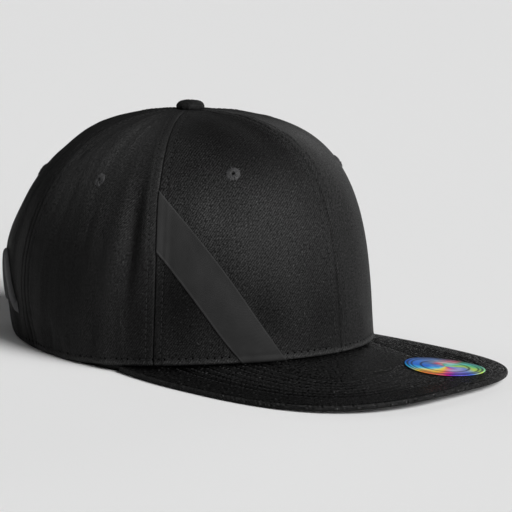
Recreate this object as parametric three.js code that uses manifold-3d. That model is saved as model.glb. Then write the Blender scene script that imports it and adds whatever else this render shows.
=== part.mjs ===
// Flat bill cap: six cotton twill panels sewn to a covered button, with sewn eyelets, a flat bill,
// a sweatband inside the hem, a woven stripe, a raised stitched motif and a round foil sticker.
// Millimetres, +Z up. The wearer faces -Y and has +X to the left. The cap rests on z = 0,
// and the origin lies below the middle of its overall length and width.
// Angles around the crown start at the front and grow towards the wearer's left.
import * as THREE from 'three'
import { mergeVertices } from 'three/addons/utils/BufferGeometryUtils.js'
import Module from 'manifold-3d'

const GAP = 0.3 // between pieces that are sewn or stuck together
const CENTRE = 30.7 // from the crown's axis forward to the middle of the cap's length

// The crown's outside: half axes of the oval at the hem, the height of its top, and the cloth.
const CROWN = {
  front: 103.9,
  back: 118.4,
  side: 80.5,
  height: 120.4,
  wall: 2, // twill with its backing
  taper: 0.104, // the share that the front panels draw in by at the top
  shift: -1.1, // the top lies this far in front of the oval's centre
  tuck: 10, // the back draws in by this much at the hem
  tuckHeight: 56, // the tuck starts this far above the hem
  holeAngle: THREE.MathUtils.degToRad(88.7), // the panels end here, around the button's shank
}

// How square the crown's profile is: 2 is an ellipse, and more is squarer.
const SQUARENESS = { front: 3.8, side: 2.58, back: 2.14 }

// Soft folds and swells of the cloth. Each runs up the crown at one place around it, and all but
// the depth in millimetres are in degrees. A negative depth swells out.
const FOLDS = [
  { around: -64.5, width: 3.2, low: 12, high: 50, depth: 1.8 },
  { around: -72, width: 4.5, low: 0, high: 54, depth: -0.9 },
  { around: -80, width: 4.5, low: 6, high: 46, depth: 1.3 },
  { around: -83.5, width: 3.5, low: -8, high: 22, depth: 1.4 },
  { around: -105, width: 6, low: 18, high: 52, depth: 1.1 },
  { around: -116, width: 4, low: 42, high: 58, depth: 1.4 },
  { around: -151, width: 14, low: 12, high: 36, depth: -1 },
  { around: -155, width: 18, low: 50, high: 80, depth: -2 },
  { around: 64, width: 4, low: 18, high: 52, depth: 1.3 },
  { around: 91, width: 6, low: -5, high: 26, depth: 1.2 },
  { around: 138, width: 8, low: 36, high: 64, depth: 1.4 },
]

// Height of the hem above the surface, which it meets all along the back.
const HEM = { mean: 3.3, slope: 5.7, lift: 2.4 }

// The panels lie between seams at these degrees around the crown. Each has one sewn eyelet,
// at a number of degrees around the crown and up its profile.
const PANELS = [
  { name: 'front_left', from: 0, to: 56.8, eyelet: 29.5, eyeletUp: 43 },
  { name: 'side_left', from: 56.8, to: 122, eyelet: 89.3, eyeletUp: 43.5 },
  { name: 'back_left', from: 122, to: 180, eyelet: 150, eyeletUp: 43.5 },
  { name: 'back_right', from: -180, to: -122, eyelet: -150, eyeletUp: 43.5 },
  { name: 'side_right', from: -122, to: -56.8, eyelet: -89.3, eyeletUp: 43.5 },
  { name: 'front_right', from: -56.8, to: 0, eyelet: -29.5, eyeletUp: 43 },
]
const RING = { hole: 1.2, outer: 3.6, height: 1.1 } // the thread around an eyelet

const BUTTON = { radius: 7, side: 2.6, height: 4.6, shank: 1.4, shankLength: 3.4 }

// The bill, seen from above: its reach and shoulders are measured forward from the crown's axis.
const BILL = {
  reach: 174.9,
  shoulder: 75.6, // its sides are widest here
  half: 80.4,
  tail: THREE.MathUtils.degToRad(69.5), // its ends meet the hem at this angle around the crown
  tailOverhang: 1, // how far they stand out from the hem
  squareness: 2.9,
  thickness: 2.9,
  edgeRise: 3.3, // the middle of the front edge is this far above the surface
  hollow: 2, // how fast its slope flattens out from the hem: 1 is straight, and more is hollower
  rim: 1.2, // width of the bevel around the edge
  bevel: 0.9, // height of the bevel
  corner: 0.72, // share of the outline that is its front
}

const BAND = { thickness: 1.2, fold: 1, rows: 3 } // the sweatband, up to this row of the panels

// Facets of the crown: rows up each panel, and columns across it.
const ROWS = 16
const COLUMNS = 12

// The edges of the stripe on the right front panel: where they start at the hem, how far up
// the side seam they end, how far they bow around the crown between, and how much more they
// bow near the seam than near the hem, all in degrees.
const STRIPE = [
  { edge: 'lower', hem: -29.6, seam: -56.3, seamUp: 26.4, bow: 1.75, skew: 0.5 },
  { edge: 'upper', hem: -17.6, seam: -56.3, seamUp: 40.3, bow: 4.1, skew: 0.5 },
]
const TAPE = 0.6 // thickness of the stripe

// The stitched wave on the right back panel.
const WAVE = {
  from: -132,
  to: -166,
  middle: 14.6, // height of its middle line as an angle of the profile
  swing: 5.8, // half its height in the same degrees
  periods: 1.5,
  width: 8, // of the satin ribbon, in millimetres
  thickness: 1.4,
  edge: 0.6, // thickness along its edges
}

const STICKER = { forward: 143.9, left: 29.1, radius: 19.3, thickness: 0.3 }

const { degToRad, radToDeg, euclideanModulo, lerp, clamp } = THREE.MathUtils

const wasm = await Module()
wasm.setup()

// A point of the curve |x|^n + |y|^n = 1, at an angle from 0 to a right angle.
function squircle(angle, n) {
  const x = Math.max(0, Math.cos(angle))
  const y = Math.max(0, Math.sin(angle))
  const scale = (x ** n + y ** n) ** (-1 / n)
  return [x * scale, y * scale]
}

function hemHeight(around) {
  const height = HEM.mean + HEM.slope * Math.cos(around) + HEM.lift * Math.cos(2 * around)
  return Math.max(0, height)
}

function foldDepth(around, up) {
  let depth = 0
  for (const fold of FOLDS) {
    const offset = euclideanModulo(radToDeg(around) - fold.around + 180, 360) - 180
    const span = clamp((radToDeg(up) - fold.low) / (fold.high - fold.low), 0, 1)
    depth += fold.depth * Math.exp(-((offset / fold.width) ** 2)) * Math.sin(Math.PI * span) ** 2
  }
  return depth
}

// The crown's outer surface at an angle around it and an angle up its profile, from the hem
// at 0 to the top at a right angle: distance from the axis, height, and share of the full rise.
function crownSection(around, up) {
  const facing = Math.cos(around)
  const end = facing > 0 ? SQUARENESS.front : SQUARENESS.back
  const [across, rise] = squircle(up, lerp(SQUARENESS.side, end, facing ** 2))
  const length = facing > 0 ? CROWN.front : CROWN.back
  const oval = 1 / Math.hypot(facing / length, Math.sin(around) / CROWN.side)
  const taper = 1 - CROWN.taper * Math.max(0, facing) ** 2 * rise
  const hem = hemHeight(around)
  const height = lerp(hem, CROWN.height, rise)
  const low = clamp(1 - (height - hem) / CROWN.tuckHeight, 0, 1)
  const tuck = CROWN.tuck * (0.5 - 0.5 * facing) * low ** 2
  return { reach: oval * across * taper - tuck - foldDepth(around, up), height, rise }
}

function crownSurface(around, up) {
  const { reach, height, rise } = crownSection(around, up)
  const forward = reach * Math.cos(around) + CROWN.shift * rise
  return new THREE.Vector3(reach * Math.sin(around), CENTRE - forward, height)
}

function crownNormal(around, up) {
  const step = 1e-3
  const higher = crownSurface(around, Math.min(up + step, Math.PI / 2))
  const lower = crownSurface(around, Math.max(up - step, 0))
  const along = crownSurface(around + step, up).sub(crownSurface(around - step, up))
  return along.cross(higher.sub(lower)).normalize()
}

// A point at a distance outside the crown's surface. Cut edges at the hem stay level with it.
function crownPoint(around, up, out) {
  const point = crownSurface(around, up)
  const height = point.z
  point.addScaledVector(crownNormal(around, up), out)
  if (up === 0) point.z = height
  return point
}

// A grid of points, with a row for each value of the first list and a column for each of the second.
function grid(rows, columns, place) {
  return rows.map((row) => columns.map((column) => place(row, column)))
}

// Evenly spaced numbers from one value to another.
function spaced(from, to, steps) {
  return Array.from({ length: steps + 1 }, (_, i) => lerp(from, to, i / steps))
}

// Angles across a panel from seam to seam, at even steps along the oval.
function panelAngles(panel) {
  const [from, to] = [panel.from, panel.to].map(degToRad)
  const length = Math.abs(from + to) < Math.PI ? CROWN.front : CROWN.back
  const onCircle = (angle) => Math.atan2(Math.sin(angle) * length, Math.cos(angle) * CROWN.side)
  const onOval = (angle) => Math.atan2(Math.sin(angle) * CROWN.side, Math.cos(angle) * length)
  return spaced(onCircle(from), onCircle(to), COLUMNS).map(onOval)
}

// A closed sheet between two grids: both faces, and the walls around its edges. A ring's
// columns join up, so it has walls only along its first and last rows.
function sheet(outer, inner, ring = false) {
  const rows = outer.length
  const columns = outer[0].length
  const count = rows * columns
  const at = (row, column) => row * columns + (column % columns)
  const index = []
  for (let row = 0; row < rows - 1; row++) {
    for (let column = 0; column < columns - (ring ? 0 : 1); column++) {
      const [a, b] = [at(row, column), at(row, column + 1)]
      const [d, c] = [at(row + 1, column), at(row + 1, column + 1)]
      index.push(a, b, c, a, c, d)
      index.push(count + a, count + c, count + b, count + a, count + d, count + c)
    }
  }
  const wall = (p, q) => index.push(q, p, count + p, q, count + p, count + q)
  for (let column = 0; column < columns - (ring ? 0 : 1); column++) {
    wall(at(0, column), at(0, column + 1))
    wall(at(rows - 1, column + 1), at(rows - 1, column))
  }
  for (let row = 0; row < rows - 1 && !ring; row++) {
    wall(at(row, columns - 1), at(row + 1, columns - 1))
    wall(at(row + 1, 0), at(row, 0))
  }
  const geometry = new THREE.BufferGeometry().setFromPoints([...outer.flat(), ...inner.flat()])
  geometry.setIndex(index)
  return geometry
}

function solid(geometry) {
  const bare = geometry.clone()
  bare.deleteAttribute('normal')
  bare.deleteAttribute('uv')
  const merged = mergeVertices(bare)
  return new wasm.Manifold(new wasm.Mesh({
    numProp: 3,
    vertProperties: new Float32Array(merged.attributes.position.array),
    triVerts: new Uint32Array(merged.index.array),
  }))
}

function subtract(geometry, cutter) {
  const mesh = solid(geometry).subtract(solid(cutter)).getMesh()
  const result = new THREE.BufferGeometry()
  result.setAttribute('position', new THREE.BufferAttribute(mesh.vertProperties, 3))
  result.setIndex(new THREE.BufferAttribute(mesh.triVerts, 1))
  return result
}

// Turns a shape that stands on +Z so that it stands on the crown, at a distance outside it.
function standOnCrown(geometry, around, up, out) {
  const turn = new THREE.Quaternion()
  turn.setFromUnitVectors(new THREE.Vector3(0, 0, 1), crownNormal(around, up))
  geometry.applyQuaternion(turn)
  return geometry.translate(...crownPoint(around, up, out))
}

// One gore of the crown between two seams, with its eyelet hole cut through.
function panelGeometry(panel) {
  const heights = spaced(0, CROWN.holeAngle, ROWS)
  const across = panelAngles(panel)
  const [from, to] = [across[0], across.at(-1)]
  const place = (out) => (up, angle) => {
    const share = (angle - from) / (to - from)
    const margin = GAP / 2 / crownSection(angle, up).reach
    return crownPoint(angle + margin * lerp(1, -1, share), up, out)
  }
  const cloth = sheet(grid(heights, across, place(0)), grid(heights, across, place(-CROWN.wall)))
  const depth = 4 * CROWN.wall
  const drill = new THREE.CylinderGeometry(RING.hole, RING.hole, depth, 12).rotateX(Math.PI / 2)
  return subtract(cloth, standOnCrown(drill, degToRad(panel.eyelet), degToRad(panel.eyeletUp), 0))
}

// The raised ring of thread around an eyelet hole, standing on +Z.
function ringGeometry() {
  const { hole, outer, height } = RING
  const profile = [
    [hole, 0],
    [outer, 0],
    [outer, height * 0.4],
    [lerp(hole, outer, 0.7), height],
    [lerp(hole, outer, 0.25), height],
    [hole, height * 0.5],
    [hole, 0],
  ]
  const points = profile.map(([x, y]) => new THREE.Vector2(x, y))
  return new THREE.LatheGeometry(points, 14).rotateX(Math.PI / 2)
}

// The covered button: a low dome on a shank that goes through the top of the crown.
function buttonGeometry() {
  const { radius, side, height, shank, shankLength } = BUTTON
  const profile = [
    [0, -shankLength],
    [shank, -shankLength],
    [shank, 0],
    [radius * 0.94, 0],
    [radius, side * 0.3],
    [radius, side],
    [radius * 0.93, lerp(side, height, 0.45)],
    [radius * 0.72, lerp(side, height, 0.8)],
    [radius * 0.38, lerp(side, height, 0.97)],
    [0, height],
  ]
  const points = profile.map(([x, y]) => new THREE.Vector2(x, y))
  return new THREE.LatheGeometry(points, 20).rotateX(Math.PI / 2)
}

// The bill's outline, from the wearer's right end at -1 over the front at 0 to the left end at 1:
// distances forward and to the left of the crown's axis.
function billOutline(place) {
  const side = Math.sign(place)
  const share = Math.abs(place)
  if (share < BILL.corner) {
    const [ahead, out] = squircle((share / BILL.corner) * (Math.PI / 2), BILL.squareness)
    return [lerp(BILL.shoulder, BILL.reach, ahead), side * out * BILL.half]
  }
  const back = (share - BILL.corner) / (1 - BILL.corner)
  const tail = crownSection(BILL.tail, 0).reach + BILL.tailOverhang
  const forward = lerp(BILL.shoulder, tail * Math.cos(BILL.tail), back)
  return [forward, side * lerp(BILL.half, tail * Math.sin(BILL.tail), back ** 2)]
}

// The bill's upper face, from its root under the hem at 0 to its outline at 1.
function billPoint(place, share) {
  const [forward, left] = billOutline(place)
  const root = crownPoint(Math.atan2(left, forward), 0, -CROWN.wall)
  root.z -= GAP
  const lift = BILL.edgeRise * Math.max(0, 1 - (left / BILL.half) ** 2)
  const edge = new THREE.Vector3(left, CENTRE - forward, lift + BILL.thickness)
  const point = root.clone().lerp(edge, share)
  point.z = lerp(edge.z, root.z, (1 - share) ** BILL.hollow)
  return point
}

function billGeometry() {
  const places = spaced(-1, 1, 64)
  const rows = ['edge', ...spaced(0, 1, 6)]
  const place = (side) => (row, where) => {
    const width = billPoint(where, 0).distanceTo(billPoint(where, 1))
    const inset = row === 'edge' ? 0 : lerp(BILL.rim, width, row)
    const point = billPoint(where, 1 - inset / width)
    const bevel = row === 'edge' ? BILL.bevel : 0
    point.z -= side === 'top' ? bevel : BILL.thickness - bevel
    point.z = Math.max(0, point.z)
    return point
  }
  return sheet(grid(rows, places, place('top')), grid(rows, places, place('under')))
}

// Height of the bill's upper face at a place forward and to the left of the crown's axis.
function billHeight(forward, left) {
  const around = Math.atan2(left, forward)
  let [near, far] = [-1, 1]
  for (let i = 0; i < 40; i++) {
    const middle = (near + far) / 2
    const [ahead, out] = billOutline(middle)
    if (Math.atan2(out, ahead) < around) near = middle
    else far = middle
  }
  const root = billPoint(near, 0)
  const edge = billPoint(near, 1)
  const spot = new THREE.Vector3(left, CENTRE - forward, 0)
  const flat = (point) => Math.hypot(point.x, point.y - CENTRE)
  const share = (flat(spot) - flat(root)) / (flat(edge) - flat(root))
  return lerp(edge.z, root.z, (1 - share) ** BILL.hollow)
}

// The sweatband lines the hem and covers the bill's root, down to the bill's lower face.
function bandGeometry() {
  const around = PANELS.flatMap((panel) => panelAngles(panel).slice(0, -1))
  const rows = ['edge', ...spaced(0, CROWN.holeAngle, ROWS).slice(0, BAND.rows + 1)]
  const place = (out) => (row, angle) => {
    const point = crownPoint(angle, row === 'edge' ? 0 : row, out)
    if (row === 'edge') point.z = Math.max(0, point.z - BILL.thickness - GAP)
    if (row === 0) point.z += BAND.fold
    return point
  }
  const outside = -CROWN.wall - GAP
  const inside = outside - BAND.thickness
  return sheet(grid(rows, around, place(outside)), grid(rows, around, place(inside)), true)
}

function stripeGeometry() {
  const place = (out) => (share, step) => {
    const bend = Math.sin(Math.PI * step)
    const twist = Math.sin(2 * Math.PI * step)
    const [lower, upper] = STRIPE.map(({ hem, seam, seamUp, bow, skew }) => ({
      around: lerp(hem, seam, step) + bow * bend - skew * twist,
      up: lerp(0, seamUp, step),
    }))
    const around = lerp(lower.around, upper.around, share)
    return crownPoint(degToRad(around), degToRad(lerp(lower.up, upper.up, share)), out)
  }
  const across = spaced(0, 1, 3)
  const along = spaced(1, 0, 16)
  return sheet(grid(across, along, place(GAP + TAPE)), grid(across, along, place(GAP)))
}

// A ribbon of satin stitch along a wave, laid on the panel.
function waveGeometry() {
  const { from, to, middle, swing, periods, width, thickness } = WAVE
  const centre = [(from + to) / 2, middle].map(degToRad)
  const { reach } = crownSection(...centre)
  const degree = degToRad(1)
  const rise = crownSection(centre[0], centre[1] + degree).height - crownSection(...centre).height
  const turns = 2 * Math.PI * periods
  const length = reach * degToRad(Math.abs(to - from))
  const place = (out) => (side, step) => {
    const lean = Math.atan((-Math.sin(turns * step) * swing * rise * turns) / length)
    const shift = (side * width) / 2
    const around = lerp(to, from, step) - radToDeg((shift * Math.sin(lean)) / reach)
    const up = middle + swing * Math.cos(turns * step) + (shift * Math.cos(lean)) / rise
    return crownPoint(degToRad(around), degToRad(up), GAP + out(side))
  }
  const sides = [-1, -0.5, 0.5, 1]
  const steps = spaced(0, 1, 36)
  const face = (side) => (Math.abs(side) < 1 ? thickness : WAVE.edge)
  return sheet(grid(sides, steps, place(face)), grid(sides, steps, place(() => 0)))
}

// A thin disc that follows the bill's upper face.
function stickerGeometry() {
  const { forward, left, radius, thickness } = STICKER
  const disc = new THREE.CylinderGeometry(radius, radius, thickness, 36).rotateX(Math.PI / 2)
  disc.translate(left, CENTRE - forward, GAP + thickness / 2)
  const points = disc.attributes.position
  for (let i = 0; i < points.count; i++) {
    const ahead = CENTRE - points.getY(i)
    points.setZ(i, points.getZ(i) + billHeight(ahead, points.getX(i)))
  }
  return disc
}

const TWILL = { color: 0x232325, roughness: 0.78 }
const MATERIALS = {
  twill: TWILL,
  button: TWILL,
  bill: { color: 0x1c1c1e, roughness: 0.82 },
  band: { color: 0x161617, roughness: 0.9 },
  thread: { color: 0x3a3a3c, roughness: 0.6 },
  stripe: { color: 0x2f2f30, roughness: 0.7 },
  motif: { color: 0xb4b4b8, roughness: 0.5 },
  foil: { color: 0xb9c4cf, roughness: 0.25, metalness: 0.9 },
}

const cap = new THREE.Group()

function add(name, geometry, material) {
  const mesh = new THREE.Mesh(geometry, new THREE.MeshStandardMaterial(MATERIALS[material]))
  mesh.name = name
  cap.add(mesh)
}

for (const panel of PANELS) {
  add(`${panel.name}_panel`, panelGeometry(panel), 'twill')
  const [around, up] = [panel.eyelet, panel.eyeletUp].map(degToRad)
  add(`eyelet_${panel.name}`, standOnCrown(ringGeometry(), around, up, GAP), 'thread')
}

const top = crownSurface(0, Math.PI / 2)
add('top_button', buttonGeometry().translate(top.x, top.y, top.z + GAP), 'button')
add('bill', billGeometry(), 'bill')
add('sweatband', bandGeometry(), 'band')
add('front_stripe', stripeGeometry(), 'stripe')
add('back_wave', waveGeometry(), 'motif')
add('bill_sticker', stickerGeometry(), 'foil')

export default cap
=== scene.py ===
import bmesh
import bpy
import math
import random
from functools import cache
from itertools import product
from mathutils import Matrix, Vector, kdtree, noise


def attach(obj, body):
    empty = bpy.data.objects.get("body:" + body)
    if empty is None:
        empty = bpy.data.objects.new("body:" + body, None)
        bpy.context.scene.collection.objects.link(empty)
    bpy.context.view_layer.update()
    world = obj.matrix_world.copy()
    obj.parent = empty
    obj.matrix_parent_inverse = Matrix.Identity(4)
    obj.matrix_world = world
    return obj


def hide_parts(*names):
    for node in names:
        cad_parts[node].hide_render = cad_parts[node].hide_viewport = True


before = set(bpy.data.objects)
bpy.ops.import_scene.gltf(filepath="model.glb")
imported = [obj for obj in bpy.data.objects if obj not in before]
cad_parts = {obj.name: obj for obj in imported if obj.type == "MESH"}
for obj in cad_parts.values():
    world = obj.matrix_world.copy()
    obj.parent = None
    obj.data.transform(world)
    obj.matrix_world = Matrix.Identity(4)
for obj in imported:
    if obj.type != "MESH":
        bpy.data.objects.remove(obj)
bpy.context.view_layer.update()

# Crown panels. Six gores of black cotton twill with its backing, sewn edge to edge from the hem up
# to the button. The allowances are pressed open and stitched down beside every seam, which leaves
# a low ridge with a groove in it. Angles start at the front and grow to the wearer's left.
MM = 0.001  # sizes are in millimetres, and this makes them metres
CENTRE = 30.7  # from the crown's axis forward to the middle of the cap's length
CROWN_FRONT = 103.9  # radii of the crown's oval, to its front, back and sides
CROWN_BACK = 118.4
CROWN_SIDE = 80.5
CROWN_HEIGHT = 120.4
CROWN_TOP = 88.7  # the panels end at this angle of their profile, under the button
CLOTH = 2.0
FRONT_TAPER = 0.104  # share of its reach that the front loses from the hem to the top
TOP_SHIFT = -1.1
BACK_TUCK = 10.0  # how far the back draws in at the hem, and over what height
TUCK_HEIGHT = 56.0
SQUARE_FRONT = 3.8  # power of the profile's curve: 2 is round, and more is squarer
SQUARE_SIDE = 2.58
SQUARE_BACK = 2.14
EYELET_SIDE = 29.5  # degrees from the front seam to the eyelets of the front panels
# Per panel, the eyelet thread's tone and the cloth's shade are painted light: lighter where the lamps
# catch them.
PANELS = (
    # name, first and last seam, eyelet around and up in degrees, painted tone of its thread, painted
    # shade of the cloth
    ("front_left", 0, 56.8, EYELET_SIDE, 43, 0.05, 1.25),
    ("side_left", 56.8, 122, 89.3, 43.5, 0.04, 1.0),
    ("back_left", 122, 180, 150, 43.5, 0.024, 0.9),
    ("back_right", -180, -122, -150, 43.5, 0.024, 0.8),
    ("side_right", -122, -56.8, -89.3, 43.5, 0.04, 1.25),
    ("front_right", -56.8, 0, -EYELET_SIDE, 43, 0.045, 1.2),
)
SEAMS = (
    # degrees around, then in mm the depth and width of the groove and the height of the ridge
    (0, 1.1, 0.7, 0.3),
    (56.8, 0.9, 0.35, 0.32),
    (122, 0.35, 0.3, 0.08),
    (180, 0.8, 0.4, 0.3),
    (-180, 0.8, 0.4, 0.3),
    (-122, 0.35, 0.3, 0.08),
    (-56.8, 0.9, 0.35, 0.32),
)
FOLDS = (
    # degrees around, width, from and to in degrees up the profile, depth in mm (minus swells out)
    (-66, 3.2, 12, 50, 1.8),
    (-72, 4.5, 0, 54, -0.9),
    (-80, 4.5, 6, 46, 1.3),
    (-83.5, 3.5, -8, 22, 1.4),
    (-105, 6, 18, 52, 1.1),
    (-116, 4, 42, 58, 1.4),
    (-151, 14, 12, 36, -1),
    (-155, 18, 50, 80, -2),
    (64, 4, 18, 52, 1.3),
    (91, 6, -5, 26, 1.2),
    (138, 8, 36, 64, 1.4),
)
CREASES = (
    # degrees around and up at the foot and at the head, width and depth in mm
    (-118, 46, -110, 58, 1.6, 0.7),
    (-66, 12, -64.5, 48, 2.8, 1.0),
    (-79, 1, -86, 11, 1.5, 0.6),
    (-68, 1, -70, 14, 1.8, -0.35),
    (-96, 0, -94, 12, 2.2, 0.5),
    (-108, 0, -105, 10, 1.8, 0.5),
    (-88, 26, -84, 42, 2.4, 0.4),
    (-24.5, 30.2, -19.5, 29.2, 0.8, 0.18),
    (-27, 27, -22, 25.6, 0.9, 0.12),
    (-55, 2, -55, 38, 10.0, 2.4),
    (0, 36, 0, 80, 15.0, -1.8),
    (-52, 38, -16, 2, 4.0, 0.5),
    (-47, 42, -8, 4, 9.0, -1.0),
    (-50, 38, -42, 25, 3.0, 0.3),
    (72, 8, 66, 26, 2.0, 0.5),
    (104, 2, 100, 16, 2.2, 0.5),
    (146, 3, 150, 18, 2.4, 0.4),
)
# Painted light and shade: patches where the crown's cloth is painted lighter or darker for how the lamps
# fall on it.
PAINTED_SHADE_SPOTS = (
    # degrees around and up, how far it spreads each way in degrees, how much lighter the cloth is painted
    (-24, 34, 15, 13, 0.38),
    (-46, 15, 10, 11, -0.6),
    (-43, 32, 9, 8, 0.8),
    (-22, 46, 13, 8, -0.5),
    (-6, 9, 11, 11, -0.45),
    (-61, 9, 8, 17, -0.4),
    (-59, 40, 3, 14, 0.7),
    (-113, 44, 14, 13, 0.6),
    (-22, 12, 6, 10, -0.35),
    (-32, 7, 7, 7, -0.3),
    (-90, 22, 10, 16, -0.25),
    (-65.5, 30, 2.4, 16, -0.4),
    (-34, 60, 16, 11, -0.45),
    (-74, 26, 5, 18, 0.5),
    (-78, 60, 16, 14, 0.8),
    (-97, 46, 13, 13, 0.85),
    (-108, 18, 18, 22, -0.4),
    (-145, 8, 22, 26, -0.7),
    (13, 57, 9, 15, 1.3),
    (16, 78, 16, 9, 1.3),
    (-6, 54, 5, 16, -0.35),
)
FRONT_LEAN = 9.0  # degrees that the front seam leans to the wearer's right, high on the crown
MM_AROUND = 1.55  # mm of cloth to a degree around the crown and up its profile, roughly
MM_UP = 1.7
HEM_RISE = CROWN_HEIGHT - 6  # about the height of the crown's top above its hem
# The mesh's columns, in mm from a seam, and its rows, in mm up from the hem.
SEAM_COLUMNS = (0, 0.2, 0.45, 0.8, 1.3, 2.0, 2.7, 3.4, 4.0, 4.6, 5.4, 6.4, 7.6, 9.2, 11.0, 13.0)
HEM_ROWS = (0, 0.3, 0.7, 1.2, 1.9, 2.6, 3.1, 3.5, 3.9, 4.5, 5.4, 6.8)
FIRST_ROW = 4.2  # degrees up, of the first row above those
FINE_ROWS = 2.2  # the mesh is finer to this many degrees above and below an eyelet
PLAIN_ROWS = 2.6  # and plain again from this many
FINE_COLUMNS = 0.036  # the same on either side of an eyelet, as a share of the panel
PLAIN_COLUMNS = 0.046
EYELET_HOLE = 1.9  # the cloth is cut away this far around an eyelet, under its thread
STITCH_OFFSET = 4.0  # rows of stitches run this far from the seams
HEM_STITCH = 3.5


def lerp(a, b, share):
    return a + (b - a) * share


def smooth(low, high, value):
    """0 up to the low value, 1 from the high one, and a smooth step between."""
    share = min(1, max(0, (value - low) / (high - low)))
    return share * share * (3 - 2 * share)


def hump(value, width):
    """1 at zero, falling smoothly to nearly 0 at twice the width on both sides."""
    return math.exp(-((value / width) ** 2))


def squircle(angle, power):
    """A point of a quarter of a circle that a higher power makes squarer."""
    x = max(0, math.cos(angle))
    y = max(0, math.sin(angle))
    scale = (x**power + y**power) ** (-1 / power)
    return x * scale, y * scale


def hem_height(around):
    return max(0, 3.3 + 5.7 * math.cos(around) + 2.4 * math.cos(2 * around))


def fold_depth(around, up):
    depth = 0
    for place, width, low, high, deep in FOLDS:
        offset = (math.degrees(around) - place + 180) % 360 - 180
        if abs(offset) < 3 * width and low < math.degrees(up) < high:
            span = (math.degrees(up) - low) / (high - low)
            depth += deep * hump(offset, width) * math.sin(math.pi * span) ** 2
    return depth


def crown_section(around, up):
    """Distance from the axis, height and share of the rise of the crown's outside."""
    facing = math.cos(around)
    end = SQUARE_FRONT if facing > 0 else SQUARE_BACK
    across, rise = squircle(up, lerp(SQUARE_SIDE, end, facing**2))
    length = CROWN_FRONT if facing > 0 else CROWN_BACK
    oval = 1 / math.hypot(facing / length, math.sin(around) / CROWN_SIDE)
    taper = 1 - FRONT_TAPER * max(0, facing) ** 2 * rise
    hem = hem_height(around)
    height = lerp(hem, CROWN_HEIGHT, rise)
    low = min(1, max(0, 1 - (height - hem) / TUCK_HEIGHT))
    tuck = BACK_TUCK * (0.5 - 0.5 * facing) * low**2
    return oval * across * taper - tuck - fold_depth(around, up), height, rise


def crown_surface(around, up):
    reach, height, rise = crown_section(around, up)
    forward = reach * math.cos(around) + TOP_SHIFT * rise
    return Vector((reach * math.sin(around), CENTRE - forward, height))


def crown_normal(around, up):
    step = 1e-3
    higher = crown_surface(around, min(up + step, math.pi / 2))
    lower = crown_surface(around, max(up - step, 0))
    along = crown_surface(around + step, up) - crown_surface(around - step, up)
    return along.cross(higher - lower).normalized()


@cache
def pace(around, up):
    """Millimetres of cloth to a radian around the crown."""
    return (crown_surface(around + 1e-3, up) - crown_surface(around - 1e-3, up)).length / 2e-3


def nearest_seam(around, up):
    """Millimetres along the cloth to the nearest seam, and the seam's groove and ridge."""
    seam, deep, narrow, high = min(SEAMS, key=lambda row: abs(math.degrees(around) - row[0]))
    return abs(around - math.radians(seam)) * pace(math.radians(seam), up), deep, narrow, high


def crease_depth(around, up):
    depth = 0
    for foot, low, head, high, width, deep in CREASES:
        run = Vector(((head - foot) * MM_AROUND, (high - low) * MM_UP))
        spot = Vector(((math.degrees(around) - foot) * MM_AROUND, (math.degrees(up) - low) * MM_UP))
        share = spot.dot(run) / run.length_squared
        if 0 < share < 1:
            depth += deep * hump((spot - run * share).length, width) * math.sin(math.pi * share)
    return depth


def painted_shade_at(around, up):
    """How much lighter or darker the cloth is painted at a place, as a share of its shade: painted light
    and shade.
    """
    side = math.degrees(around)
    rise = math.degrees(up)
    share = 0
    for place, level, wide, tall, lighter in PAINTED_SHADE_SPOTS:
        share += lighter * hump(side - place, wide) * hump(rise - level, tall)
    return share


def ripple(side, wide, level, tall, layer):
    """A smooth random wave between about -1 and 1, as wide and tall as given, from its own layer."""
    return noise.noise(Vector((side / wide, level / tall, layer)))


def cloth_relief(around, up):
    """How far the cloth stands out from the plain crown, in mm, beside seams and hem and in its slack."""
    seam, deep, narrow, high = nearest_seam(around, up)
    hem = math.sin(up) * HEM_RISE
    side = math.degrees(around)
    rise = math.degrees(up)
    soft = 1 - smooth(-0.1, 0.8, math.cos(around)) * 0.8
    groove = -deep * hump(seam, narrow)
    ridge = high * (1 - smooth(4.6, 7.5, seam))
    sewn = -0.28 * hump(seam - STITCH_OFFSET, 0.7)
    pull = ripple(side, 40, hem, 4.4, 3.1)
    pucker = 0.42 * pull * hump(seam - 5, 4.5)
    rolled = -0.9 * hump(hem, 0.4) + 0.16 * hump(hem - 1.9, 1.1) - 0.22 * hump(hem - HEM_STITCH, 0.7)
    tug = ripple(side, 2.4, hem, 6, 4.4)
    hem_puff = 0.3 * tug * hump(hem - 3.2, 2.6)
    gather = ripple(side, 4.6, hem, 30, 7.7)
    hem_pucker = (0.2 + 0.7 * soft) * gather * hump(hem - 9, 9)
    slack = ripple(side, 17, rise, 26, 1.3) - 0.3
    drape = ripple(side, 6.5, rise, 34, 9.3)
    wrinkle = noise.fractal(Vector((side / 4.2, rise / 7.5, 5.5)), 0.9, 2.0, 3)
    streak = ripple(side, 2.3, rise, 15, 2.7)
    inside = smooth(0, 14, seam) * smooth(0, 20, hem)
    wave = soft * (1.1 * slack + 0.7 * drape + 0.16 * streak) * inside
    fine = (0.05 + 0.1 * soft) * wrinkle * smooth(0, 5, seam)
    creased = -crease_depth(around, up)
    return groove + ridge + sewn + pucker + rolled + hem_puff + hem_pucker + wave + fine + creased


def leaned(around, up):
    """Where cloth at an angle around lies: between the front eyelets it follows the leaning seam."""
    share = min(1, abs(math.degrees(around)) / EYELET_SIDE)
    lean = FRONT_LEAN * smooth(36, 68, math.degrees(up)) * (1 - share**2) ** 2
    return around - math.radians(lean)


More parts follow.
